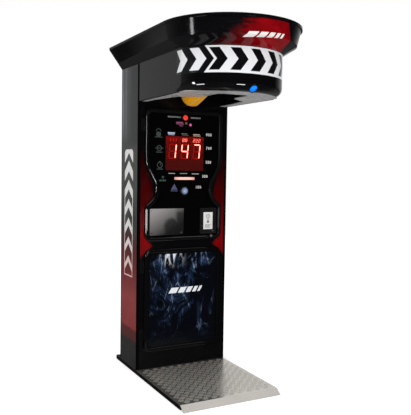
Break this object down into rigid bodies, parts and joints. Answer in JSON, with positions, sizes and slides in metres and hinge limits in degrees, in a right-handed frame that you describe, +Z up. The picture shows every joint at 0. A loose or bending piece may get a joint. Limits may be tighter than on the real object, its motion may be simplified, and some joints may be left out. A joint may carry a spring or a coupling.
{
  "type": "boxing punch machine",
  "caption": "Coin-operated boxing punch machine: tread plate, column with a score display and coin panel, and a drum-shaped head from which a leather bag swings down.",
  "frame": {"origin": "centre of the overall footprint, on the floor", "axes": "+Z up, -Y towards the player, +X to the player's right"},
  "size_m": [0.85, 1.411, 2.206],
  "materials": {
    "rubber_black": "matt",
    "base_black": "black laminate",
    "tread_aluminium": "checker plate",
    "side_print": "satin print",
    "front_print": "satin print",
    "back_black": "matt black",
    "cheek_grey": "satin dark grey",
    "gloss_black": "gloss",
    "band_white": "gloss",
    "under_grey": "satin light grey",
    "lid_black": "matt",
    "steel_dark": "powder coat",
    "steel_bright": "zinc",
    "hinge_black": "black",
    "leather_orange": "semi-gloss",
    "electric_black": "matt",
    "smoke_window": "smoked red gloss",
    "digit_red": "lit",
    "circuit_green": "board",
    "status_red": "lit",
    "bezel_black": "gloss",
    "button_blue": "lit",
    "button_red": "lit",
    "lamp_blue": "lit",
    "cover_smoke": "smoky gloss",
    "coin_metal": "black with bright edges",
    "label_white": "white",
    "poster_print": "gloss print",
    "box_steel": "grey"
  },
  "bodies": {
    "cabinet": {"floor_pads": "rubber_black", "arm_stop": "rubber_black", "base_board": "base_black", "tread_plate": "tread_aluminium", "side_panel_left": "side_print", "side_panel_right": "side_print", "front_panel": "front_print", "back_panel": "back_black", "cash_shelf": "back_black", "head_ceiling": "back_black", "head_cheek_left": "cheek_grey", "head_cheek_right": "cheek_grey", "drum_shell": "gloss_black", "crown_shell": "gloss_black", "drum_band": "band_white", "underside_plate": "under_grey", "crown_lid": "lid_black", "pivot_bracket": "steel_dark", "magnet_hanger": "steel_dark", "pivot_bearings": "steel_bright", "hinge_leaves": "hinge_black", "hinge_pins": "hinge_black", "holding_magnet": "electric_black", "speed_sensor": "electric_black", "power_inlet": "electric_black", "power_supply": "electric_black", "door_catch": "electric_black", "lamp_bezel": "bezel_black", "head_lamp": "lamp_blue", "cash_box": "box_steel"},
    "bag_arm": {"punch_bag": "leather_orange", "bag_collar": "steel_bright", "swing_arm": "steel_dark", "arm_hub": "steel_dark", "armature": "steel_bright", "pivot_axle": "steel_bright", "sensor_disc": "steel_bright"},
    "fascia": {"fascia_moulding": "gloss_black", "display_window": "smoke_window", "score_digits": "digit_red", "record_digits": "digit_red", "display_board": "circuit_green", "status_lens": "status_red", "start_button_bezel": "bezel_black", "top_button_bezel": "bezel_black", "button_switches": "electric_black", "coin_cover": "cover_smoke", "cover_screws": "steel_bright", "coin_frame": "coin_metal", "coin_label": "label_white", "coin_acceptor": "electric_black", "fascia_hinges": "hinge_black"},
    "start_cap": {"start_button": "button_blue"},
    "top_cap": {"top_button": "button_red"},
    "return_cap": {"coin_return_button": "coin_metal"},
    "lock": {"fascia_lock": "steel_bright", "lock_cam": "steel_bright"},
    "lower_door": {"poster_door": "gloss_black", "poster_panel": "poster_print", "door_hinges": "hinge_black"}
  },
  "joints": [
    {"name": "bag_swing", "type": "hinge", "parent": "cabinet", "child": "bag_arm", "pos_m": [0, -0.2355, 1.918], "axis": [-1, 0, 0], "range_deg": [0, 125]},
    {"name": "fascia_open", "type": "hinge", "parent": "cabinet", "child": "fascia", "pos_m": [-0.2935, 0.3035, 1.3], "axis": [0, 0, -1], "range_deg": [0, 110]},
    {"name": "door_open", "type": "hinge", "parent": "cabinet", "child": "lower_door", "pos_m": [-0.2935, 0.3035, 0.5], "axis": [0, 0, -1], "range_deg": [0, 110]},
    {"name": "start_press", "type": "slide", "parent": "fascia", "child": "start_cap", "axis": [0, 1, 0], "range_m": [0, 0.004], "stiffness_N_per_m": 400, "springref_m": -0.004},
    {"name": "top_press", "type": "slide", "parent": "fascia", "child": "top_cap", "axis": [0, 1, 0], "range_m": [0, 0.003], "stiffness_N_per_m": 400, "springref_m": -0.004},
    {"name": "return_press", "type": "slide", "parent": "fascia", "child": "return_cap", "axis": [0, 1, 0], "range_m": [0, 0.003], "stiffness_N_per_m": 300, "springref_m": -0.004},
    {"name": "lock_turn", "type": "hinge", "parent": "fascia", "child": "lock", "pos_m": [0.205, 0.3095, 0.922], "axis": [0, -1, 0], "range_deg": [0, 90]}
  ]
}
